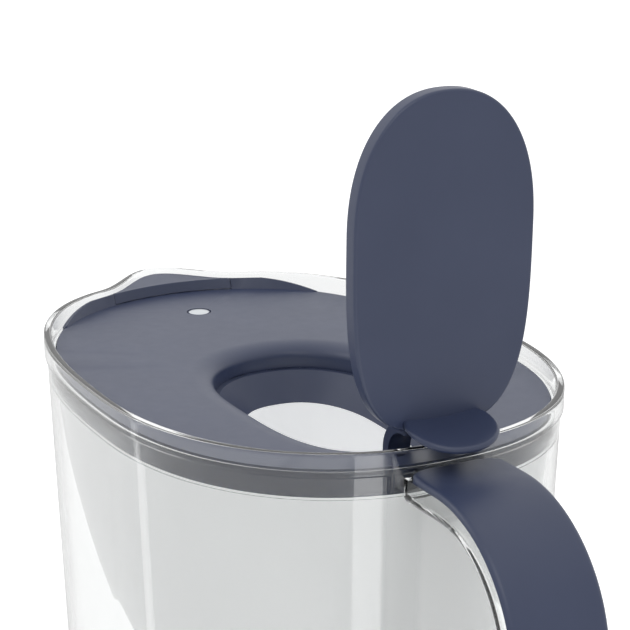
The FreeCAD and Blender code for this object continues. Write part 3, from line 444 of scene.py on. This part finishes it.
thin = moulded("frosted_rim", (0.86, 0.86, 0.86, 1), (0.92, 0.92, 0.92, 1),
               (0.05, 0.09), 1400.0, 0.02)
set_inputs(shader_of(thin), {"Transmission Weight": 1.0, "IOR": 1.35})

FINISH = {
    "clear_plastic": clear,
    "slate_plastic": slate,
    "dark_plastic": dark,
    "frosted_plastic": milky,
    "white_plastic": white,
    "light_white": glow,
    "steel": steel,
    "seal_rubber": rubber,
    "filter_grains": grains,
    "mesh_screen": screen,
    "board_green": board,
}
for part in frame["record"]["subparts"]:
    slots = frame["nodes"][part["node"]].data.materials
    slots.clear()
    slots.append(FINISH[part["material_slot"]])


def wall_x(y, z, outset):
    """X of the jug's rear wall at a height and side place, moved outwards."""
    inset = wall_inset(z) - outset
    share = min(1.0, abs(y) / (SIDE - inset))
    return WIDEST_X + (REAR_SEMI - inset) * (1 - share ** REAR_POWER) ** (1 / REAR_POWER)


def handle_sweep(section_at, root_x, steps):
    """Rings of a section of (depth, y) points swept round the handle, run out to the wall at both roots."""
    top_x = HANDLE_X - HANDLE_TOP_ROUND
    low_x = HANDLE_X - HANDLE_LOW_ROUND
    in_wall = WALL / 2 / (top_x - REAR_X)
    run = [0.0, in_wall / 2] + [in_wall + (1 - in_wall) * (1 - math.cos(angle)) for angle in quarter(steps)]
    rings = []
    for t in run:
        ring = []
        for d, y in section_at(t * (top_x - REAR_X)):
            x0 = root_x(y, HANDLE_TOP - d)
            ring.append(Vector((x0 + (top_x - x0) * t, y, HANDLE_TOP - d)))
        rings.append(ring)
    middle = section_at(HANDLE_X)
    for angle in quarter(2 * steps)[1:]:
        c = math.cos(angle)
        s = math.sin(angle)
        z = HANDLE_TOP - HANDLE_TOP_ROUND
        rings.append([Vector((top_x + (HANDLE_TOP_ROUND - d) * s, y, z + (HANDLE_TOP_ROUND - d) * c))
                      for d, y in middle])
    for z in spread(HANDLE_TOP - HANDLE_TOP_ROUND, HANDLE_LOW + HANDLE_LOW_ROUND, HANDLE_STEPS)[1:-1]:
        rings.append([Vector((HANDLE_X - d, y, z)) for d, y in middle])
    for angle in quarter(2 * steps)[:-1]:
        c = math.cos(angle)
        s = math.sin(angle)
        z = HANDLE_LOW + HANDLE_LOW_ROUND
        rings.append([Vector((low_x + (HANDLE_LOW_ROUND - d) * c, y, z - (HANDLE_LOW_ROUND - d) * s))
                      for d, y in middle])
    for t in reversed(run):
        ring = []
        for d, y in section_at(t * (low_x - REAR_X)):
            x0 = root_x(y, HANDLE_LOW + d)
            ring.append(Vector((x0 + (low_x - x0) * t, y, HANDLE_LOW + d)))
        rings.append(ring)
    return rings


def jug_mesh():
    rings = []
    for angle in quarter(ROUND_STEPS):
        z = BASE_ROUND * (1 - math.cos(angle))
        rings.append(body_ring(z, wall_inset(z) + BASE_ROUND * (1 - math.sin(angle))))
    for z in spread(BASE_ROUND + FOOT_RUN, RIM_Z - SPOUT_DROP, WALL_STEPS):
        rings.append(body_ring(z, wall_inset(z)))
    for z in spread(RIM_Z - SPOUT_DROP, RIM_Z - RIM_BAND - RIM_STEP, SPOUT_OUTER_STEPS)[1:]:
        rings.append(body_ring(z, wall_inset(z), spout_bulge(z)))
    for z in spread(RIM_Z - RIM_BAND - RIM_UNDERCUT, RIM_Z - RIM_ROUND, RIM_STEPS):
        rings.append(body_ring(z, 0.0, spout_bulge(z)))
    for angle in quarter(RIM_STEPS)[1:]:
        z = RIM_Z - RIM_ROUND * (1 - math.sin(angle))
        rings.append(body_ring(z, RIM_ROUND * (1 - math.cos(angle)), spout_bulge(z)))
    for angle in quarter(RIM_STEPS):
        z = RIM_Z - RIM_ROUND * (1 - math.cos(angle))
        rings.append(body_ring(z, RIM_WALL - RIM_ROUND * (1 - math.sin(angle)), spout_bulge(z)))
    for z in spread(RIM_Z - RIM_RUN, LEDGE_Z, LEDGE_STEPS):
        rings.append(body_ring(z, RIM_WALL, spout_bulge(z)))
    for z in spread(LEDGE_Z, RIM_Z - SPOUT_DROP, SPOUT_INNER_STEPS):
        rings.append(body_ring(z, wall_inset(z) + WALL, spout_bulge(z)))
    for z in spread(RIM_Z - SPOUT_DROP, FLOOR + INNER_ROUND + FLOOR_RUN, WALL_STEPS)[1:]:
        rings.append(body_ring(z, wall_inset(z) + WALL))
    for angle in reversed(quarter(ROUND_STEPS)):
        z = FLOOR + INNER_ROUND * (1 - math.cos(angle))
        rings.append(body_ring(z, wall_inset(z) + WALL + INNER_ROUND * (1 - math.sin(angle))))
    return skin(rings, cap_first=True, cap_last=True)


def core_section(away):
    """U of the clear handle channel, the same at every distance from the wall."""
    low = GRIP_THICK + CORE_DEPTH
    trough = low - CORE_WALL
    half = [(GRIP_THICK, CORE_HALF)]
    for angle in quarter(CORE_EDGE_STEPS):
        half.append((low - CORE_EDGE * (1 - math.sin(angle)),
                     CORE_HALF - CORE_EDGE * (1 - math.cos(angle))))
    inner = CORE_HALF - CORE_WALL
    loop = half + [(d, -y) for d, y in reversed(half)]
    floor = [(trough, -inner + CORE_FILLET), (trough, inner - CORE_FILLET)]
    return loop + [(GRIP_THICK, -inner), (trough - CORE_FILLET, -inner)] + floor + [
        (trough - CORE_FILLET, inner), (GRIP_THICK, inner)]


def core_root(y, z):
    return wall_x(y, z, -WALL / 2)


def grip_section(away):
    """Dark cover over the handle channel, thinner right at its ends."""
    ease = GRIP_END_EASE * max(0.0, 1 - away / GRIP_END_RUN)
    half = []
    for angle in quarter(GRIP_EDGE_STEPS):
        half.append((GRIP_EDGE * (1 - math.sin(angle)) + ease,
                     GRIP_HALF - GRIP_EDGE * (1 - math.cos(angle))))
    outer = [(ease, y) for y in spread(-GRIP_HALF + GRIP_EDGE, GRIP_HALF - GRIP_EDGE, GRIP_FACE_STEPS)]
    side = [(d, y) for d, y in reversed(half) if d < GRIP_SIDE + ease - LEVEL_SLACK][1:]
    inside = [(GRIP_SIDE + ease, CORE_HALF + GRIP_GAP / 2), (GRIP_THICK, CORE_HALF + GRIP_GAP / 2)]
    right = side + [(GRIP_SIDE + ease, GRIP_HALF - GRIP_LIP)] + inside
    return outer + right + [(d, -y) for d, y in reversed(right)]


def grip_root(y, z):
    over = max(0.0, abs(y) - GRIP_HALF + GRIP_CORNER)
    return wall_x(y, z, GRIP_GAP) + GRIP_CORNER - math.sqrt(max(0.0, GRIP_CORNER ** 2 - over ** 2))


def funnel_ring(z, inset, closing=0.0):
    """Plan of the funnel; closing runs from 0 at the ledge to 1 at the floor."""
    taper = FUNNEL_DRAFT * max(0.0, LEDGE_Z - z)
    side = BOWL_SIDE * closing + taper
    outline = egg(FRONT_SEMI - BOWL_FRONT * closing - taper, REAR_SEMI - side, SIDE - side, FRONT_POWER,
                  REAR_POWER, inset, FUNNEL_DENT * (closing - 1), FUNNEL_DENT_HALF)
    ring = [Vector((x + WIDEST_X, y, z)) for x, y in outline]
    return [Vector((p.x, p.y, min(p.z, FUNNEL_FRONT_TOP))) if p.x < FUNNEL_FRONT_X else p for p in ring]


def bowl_rings(inset, floor_z):
    """Rings of the bowl from the floor up to the ledge."""
    rings = []
    for angle in reversed(quarter(BOWL_STEPS)):
        depth = (LEDGE_Z - floor_z) * math.sin(angle) ** (2 / BOWL_POWER)
        rings.append(funnel_ring(LEDGE_Z - depth, inset, 1 - max(0.0, math.cos(angle)) ** (2 / BOWL_POWER)))
    return rings


def well_ring(z, radius):
    ring = []
    for k in range(RING):
        turn = 2 * math.pi * k / RING
        angle = turn + CROWDING * math.sin(turn)
        ring.append(Vector((WELL_X + radius * math.cos(angle), radius * math.sin(angle), z)))
    return ring


def funnel_mesh():
    outer = RIM_PROUD + WALL_DRAFT * (RIM_Z - LEDGE_Z - RIM_BAND) + WALL + FUNNEL_GAP
    inner = outer + FUNNEL_WALL
    low = FUNNEL_FLOOR - WELL_DEPTH
    rings = [well_ring(low, WELL_DRAIN)]
    for angle in quarter(WELL_ROUND_STEPS):
        rings.append(well_ring(low + WELL_ROUND * (1 - math.cos(angle)),
                               WELL_RADIUS + FUNNEL_WALL - WELL_ROUND * (1 - math.sin(angle))))
    rings.append(well_ring(FUNNEL_FLOOR, WELL_RADIUS + FUNNEL_WALL))
    rings += bowl_rings(outer, FUNNEL_FLOOR)
    half_rim = FUNNEL_RIM / 2
    for z in (LEDGE_Z, FUNNEL_SHOULDER, FUNNEL_RIM_TOP - FUNNEL_RIM_ROUND):
        rings.append(funnel_ring(z, FUNNEL_RIM_INSET))
    for angle in quarter(RIM_STEPS)[1:]:
        rings.append(funnel_ring(FUNNEL_RIM_TOP - FUNNEL_RIM_ROUND + FUNNEL_RIM_ROUND * math.sin(angle),
                                 FUNNEL_RIM_INSET + half_rim * (1 - math.cos(angle))))
    for angle in quarter(RIM_STEPS)[1:]:
        rings.append(funnel_ring(FUNNEL_RIM_TOP - FUNNEL_RIM_ROUND + FUNNEL_RIM_ROUND * math.cos(angle),
                                 FUNNEL_RIM_INSET + half_rim + half_rim * math.sin(angle)))
    rings.append(funnel_ring(FUNNEL_SHOULDER, FUNNEL_RIM_INSET + FUNNEL_RIM))
    rings.append(funnel_ring(FUNNEL_SHOULDER, inner))
    floor = FUNNEL_FLOOR + FUNNEL_WALL
    rings += reversed(bowl_rings(inner, floor))
    rings.append(well_ring(floor, WELL_RADIUS))
    rings.append(well_ring(low + FUNNEL_WALL, WELL_RADIUS))
    rings.append(well_ring(low + FUNNEL_WALL, WELL_DRAIN))
    return skin(rings, closed=True)


def flap_ring(z, inset):
    """Plan outline of the fill flap in its closed pose."""
    outline = egg(FLAP_FREE_LENGTH, FLAP_HINGE_LENGTH, FLAP_HALF, FLAP_FREE_POWER, FLAP_HINGE_POWER, inset)
    return [Vector((FLAP_MIDDLE_X + x, y, z)) for x, y in outline]


def towards_middle(ring, share):
    middle = sum(ring, Vector()) / len(ring)
    return [middle + (p - middle) * share for p in ring]


def open_flap(mesh):
    """Swings a mesh made in the closed pose to the open pose of the photograph."""
    turn = Matrix.Rotation(math.radians(FLAP_OPEN), 4, "Y")
    hinge = Matrix.Translation(Vector((HINGE_X, 0, HINGE_Z)) * MM)
    bmesh.ops.transform(mesh, matrix=hinge @ turn @ hinge.inverted(), verts=mesh.verts[:])
    return mesh


def cover_mesh():
    low = FLAP_TOP - FLAP_THICK
    rings = [flap_ring(low, FLAP_SIDE_WALL), flap_ring(low, FLAP_UNDER_EDGE)]
    for angle in quarter(FLAP_UNDER_STEPS)[1:]:
        rings.append(flap_ring(low + FLAP_UNDER_EDGE * (1 - math.cos(angle)),
                               FLAP_UNDER_EDGE * (1 - math.sin(angle))))
    for z in spread(low + FLAP_UNDER_RUN, FLAP_TOP - FLAP_EDGE, FLAP_SIDE_STEPS):
        rings.append(flap_ring(z, 0.0))
    for angle in quarter(FLAP_EDGE_STEPS)[1:]:
        rings.append(flap_ring(FLAP_TOP - FLAP_EDGE * (1 - math.sin(angle)),
                               FLAP_EDGE * (1 - math.cos(angle))))
    face = flap_ring(FLAP_TOP, FLAP_EDGE)
    hollow = flap_ring(FLAP_TOP - FLAP_SKIN, FLAP_SIDE_WALL)
    rings += [towards_middle(face, share) for share in FLAP_FACE_SHARES]
    inside = [towards_middle(hollow, share) for share in FLAP_HOLLOW_SHARES] + [hollow]
    for ring in (rings[0], rings[1], rings[2]):
        for p in ring:
            in_arm = ARM_INNER_Y - ARM_SIDE_GAP < abs(p.y) < ARM_OUTER_Y + ARM_SIDE_GAP
            if p.x > FLAP_MIDDLE_X and in_arm:
                p.z = HINGE_Z + ARM_THICK / 2 + ARM_TOP_GAP
    return open_flap(skin(inside + rings, cap_first=True, cap_last=True))


def tab_mesh():
    """Dished thumb tab with a full round edge, in the closed pose, then opened."""
    root_x = HINGE_X - TAB_ROOT
    reach = TAB_LENGTH - TAB_WIDEST
    outline = []
    for k in range(TAB_RING):
        angle = 2 * math.pi * k / TAB_RING
        c = math.cos(angle)
        s = math.sin(angle)
        radius = (abs(c / TAB_HALF) ** TAB_POWER + abs(s / reach) ** TAB_POWER) ** (-1 / TAB_POWER)
        outline.append((radius * c, radius * s))
    half = TAB_THICK / 2

    def layer(share, inset, side):
        ring = []
        for y, s in outline:
            length = math.hypot(y, s)
            scale = share * (1 - inset / length)
            bend = TAB_SCOOP - math.sqrt(TAB_SCOOP ** 2 - (y * scale) ** 2)
            ring.append(Vector((root_x + half - bend + side * half, y * scale,
                                FLAP_TOP + TAB_WIDEST + s * scale)))
        return ring

    rings = [layer(share, half, -1) for share in TAB_SHARES]
    for k in range(1, TAB_EDGE_STEPS):
        angle = math.pi * k / TAB_EDGE_STEPS
        rings.append(layer(1.0, half * (1 - math.sin(angle)), -math.cos(angle)))
    rings += [layer(share, half, 1) for share in reversed(TAB_SHARES)]
    mesh = skin(rings, cap_first=True, cap_last=True)
    lean = Matrix.Rotation(math.radians(TAB_LEAN), 4, "Y")
    root = Matrix.Translation(Vector((root_x, 0, FLAP_TOP)) * MM)
    bmesh.ops.transform(mesh, matrix=root @ lean @ root.inverted(), verts=mesh.verts[:])
    geometry = mesh.verts[:] + mesh.edges[:] + mesh.faces[:]
    foot = Vector((0, 0, FLAP_TOP - FLAP_SKIN / 2)) * MM
    cut = bmesh.ops.bisect_plane(mesh, geom=geometry, plane_co=foot, plane_no=(0, 0, 1), clear_inner=True)
    rim = [item for item in cut["geom_cut"] if isinstance(item, bmesh.types.BMEdge)]
    bmesh.ops.contextual_create(mesh, geom=rim)
    bmesh.ops.recalc_face_normals(mesh, faces=mesh.faces[:])
    return open_flap(mesh)


def united(name, first, second):
    """One closed mesh from two that overlap."""
    objects = [placed(name, mesh) for mesh in (first, second)]
    union = objects[0].modifiers.new("union", "BOOLEAN")
    union.operation = "UNION"
    union.solver = "EXACT"
    union.object = objects[1]
    bpy.context.view_layer.update()
    shape = objects[0].evaluated_get(bpy.context.evaluated_depsgraph_get())
    result = bmesh.new()
    result.from_mesh(shape.to_mesh())
    shape.to_mesh_clear()
    for made in objects:
        data = made.data
        bpy.data.objects.remove(made)
        bpy.data.meshes.remove(data)
    return result


def on_lip(vert):
    """Whether a corner of a mesh is on the upper edge of the lip's sloping face."""
    p = vert.co / MM
    face_radius = LIP_RADIUS + LIP_SLOPE * (p.z - LID_TOP)
    return p.z > LID_TOP + LIP_FOOT and abs(math.hypot(p.x - LIP_X, p.y) - face_radius) < LIP_REACH


def refined(node, body, material, edge):
    """A node's own form with its edges eased, as moulded edges are, and more so along the lip."""
    mesh = bmesh.new()
    mesh.from_mesh(frame["nodes"][node].data)
    bmesh.ops.remove_doubles(mesh, verts=mesh.verts[:], dist=MERGE_DISTANCE * MM)
    weight = mesh.edges.layers.float.new("bevel_weight_edge")
    for line in mesh.edges:
        if line.is_manifold and line.calc_face_angle() > math.radians(EASE_ANGLE):
            line[weight] = 1.0 if all(on_lip(vert) for vert in line.verts) else edge / LIP_EASE
    made = piece(node + "_moulded", mesh, body, material, [node], EASE_ANGLE)
    ease = made.modifiers.new("ease", "BEVEL")
    ease.limit_method = "WEIGHT"
    ease.width = LIP_EASE * MM
    ease.segments = EASE_SEGMENTS
    ease.harden_normals = True
    return made


core = skin(handle_sweep(core_section, core_root, CORE_STEPS), cap_first=True, cap_last=True)
piece("clear_jug", united("clear_jug", jug_mesh(), core), "jug", clear, ["jug_body"])
cover_rings = handle_sweep(grip_section, grip_root, GRIP_STEPS)
grip = piece("grip_cover", skin(cover_rings, cap_first=True, cap_last=True), "jug", slate,
             ["handle_grip"])
grip.data.materials.append(white)
# The grip's underside, against the clear channel, is white
section = grip_section(HANDLE_X)
underside = section.index((GRIP_THICK, CORE_HALF + GRIP_GAP / 2))
for face in grip.data.polygons:
    if len(face.vertices) == 4 and face.index % len(section) == underside:
        face.material_index = 1
funnel = piece("milky_funnel", funnel_mesh(), "funnel", milky, ["funnel"])
funnel.data.materials.append(thin)
funnel.data.materials.append(lit)
# The funnel's outside is milky, its upright rim is see-through, and its inside glows a little more, in place
# of light that comes through the wall
for face in funnel.data.polygons:
    above = face.center.z > (FUNNEL_SHOULDER + LEVEL_SLACK) * MM
    inwards = face.normal.dot(face.center - FUNNEL_MIDDLE * MM) < 0
    face.material_index = 1 if above else 2 if inwards else 0
piece("flap_shell", united("flap_shell", cover_mesh(), tab_mesh()), "fill_flap", slate,
      ["flap_cover"])
lid = refined("lid_panel", "lid", slate, LID_EDGE)
# The skirt reaches down to the funnel's shoulder
for vert in lid.data.vertices:
    if abs(vert.co.z - SKIRT_LOW * MM) < LEVEL_SLACK / 2 * MM:
        vert.co.z = FUNNEL_SHOULDER * MM
refined("fill_collar", "lid", dark, COLLAR_EDGE)
refined("flap_liner", "fill_flap", slate, LINER_EDGE)
pour = refined("pour_flap", "pour_flap", slate, POUR_EDGE)
# The pour flap's upper part is widened, which narrows the seams beside it
for vert in pour.data.vertices:
    if vert.co.z > LID_TOP * MM and abs(vert.co.y) > (POUR_HALF - POUR_SEAM) * MM:
        vert.co.y += math.copysign(POUR_SEAM * MM, vert.co.y)
refined("light_button", "light_button", dark, BUTTON_EDGE)


def disc_ring(radius, z):
    """Circle about the light's upright axis."""
    turns = [2 * math.pi * k / DISC_RING for k in range(DISC_RING)]
    return [Vector((BUTTON_X + radius * math.cos(turn), radius * math.sin(turn), z)) for turn in turns]


disc_rings = [
    disc_ring(DISC_RADIUS, BUTTON_TOP - DISC_SINK),
    disc_ring(DISC_RADIUS, BUTTON_TOP),
    disc_ring(DISC_RADIUS - DISC_EDGE, BUTTON_TOP + DISC_RISE),
    disc_ring(DISC_RADIUS * DISC_CROWN_SHARE, BUTTON_TOP + DISC_CROWN),
]
piece("light_disc", skin(disc_rings, cap_first=True, cap_last=True), "light_button", glow)


def look_at(obj, target):
    obj.rotation_euler = (Vector(target) - obj.location).to_track_quat("-Z", "Y").to_euler()


def soft_light(name, place, target, width, height, power):
    lamp = bpy.data.lights.new(name, "AREA")
    lamp.shape = "RECTANGLE"
    lamp.size = width
    lamp.size_y = height
    lamp.energy = power
    holder = bpy.data.objects.new(name, lamp)
    holder.location = place
    bpy.context.scene.collection.objects.link(holder)
    look_at(holder, target)
    holder.visible_camera = False


def seen_share(tree, ray, unseen, seen):
    """One value for a kind of ray that shows the background to the eye, and one for the rest."""
    path = tree.nodes.new("ShaderNodeLightPath")
    strength = tree.nodes.new("ShaderNodeMapRange")
    set_inputs(strength, {"To Min": unseen, "To Max": seen})
    tree.links.new(path.outputs[ray], strength.inputs["Value"])
    return strength


def room_light(tree):
    """Level of the light by direction: bright backdrop and ceiling, dim room opposite the backdrop."""
    place = tree.nodes.new("ShaderNodeTexCoord")
    along = tree.nodes.new("ShaderNodeVectorMath")
    along.operation = "DOT_PRODUCT"
    along.inputs[1].default_value = BACKDROP
    tree.links.new(place.outputs["Generated"], along.inputs[0])
    level = tree.nodes.new("ShaderNodeMapRange")
    level.interpolation_type = "SMOOTHSTEP"
    set_inputs(level, {"From Min": ROOM_LOW, "From Max": ROOM_HIGH})
    set_inputs(level, {"To Min": DIM_LIGHT, "To Max": BRIGHT_LIGHT})
    tree.links.new(along.outputs["Value"], level.inputs["Value"])
    return level


def studio():
    """White world and floor for the eye, a bright backdrop and a dimmer room for the object."""
    world = bpy.data.worlds.new("studio")
    bpy.context.scene.world = world
    world.use_nodes = True
    tree = world.node_tree
    back = tree.nodes["Background"]
    back.inputs["Color"].default_value = (1.0, 1.0, 1.0, 1.0)
    level = room_light(tree)
    capped = tree.nodes.new("ShaderNodeMath")
    capped.operation = "MINIMUM"
    capped.inputs[1].default_value = GLASS_LIGHT
    tree.links.new(level.outputs["Result"], capped.inputs[0])
    through = seen_share(tree, "Is Transmission Ray", 1.0, 1.0)
    tree.links.new(level.outputs["Result"], through.inputs["To Min"])
    tree.links.new(capped.outputs["Value"], through.inputs["To Max"])
    seen = seen_share(tree, "Is Camera Ray", 1.0, 1.0)
    tree.links.new(through.outputs["Result"], seen.inputs["To Min"])
    tree.links.new(seen.outputs["Result"], back.inputs["Strength"])

    mesh = bmesh.new()
    bmesh.ops.create_grid(mesh, x_segments=2, y_segments=2, size=FLOOR_HALF)
    floor = placed("floor", mesh)
    floor.location = (0, 0, FLOOR_Z)
    material, tree, shader = new_material("floor")
    set_inputs(shader, {"Base Color": (0.86, 0.86, 0.86, 1), "Roughness": 0.7})
    set_inputs(shader, {"Specular IOR Level": 0.0, "Emission Color": (1, 1, 1, 1)})
    shown = seen_share(tree, "Is Camera Ray", 0.0, FLOOR_SHOWN)
    through = seen_share(tree, "Is Transmission Ray", 0.0, FLOOR_THROUGH)
    tree.links.new(through.outputs["Result"], shown.inputs["To Min"])
    tree.links.new(shown.outputs["Result"], shader.inputs["Emission Strength"])
    floor.data.materials.append(material)


studio()
for lamp in LAMPS:
    soft_light(*lamp)

eye = bpy.data.cameras.new("camera")
eye.lens = CAMERA_LENS
eye.sensor_width = CAMERA_SENSOR
holder = bpy.data.objects.new("camera", eye)
holder.location = CAMERA_PLACE
bpy.context.scene.collection.objects.link(holder)
look_at(holder, CAMERA_PLACE + CAMERA_WAY)
bpy.context.scene.camera = holder
bpy.context.scene.view_settings.view_transform = "Standard"
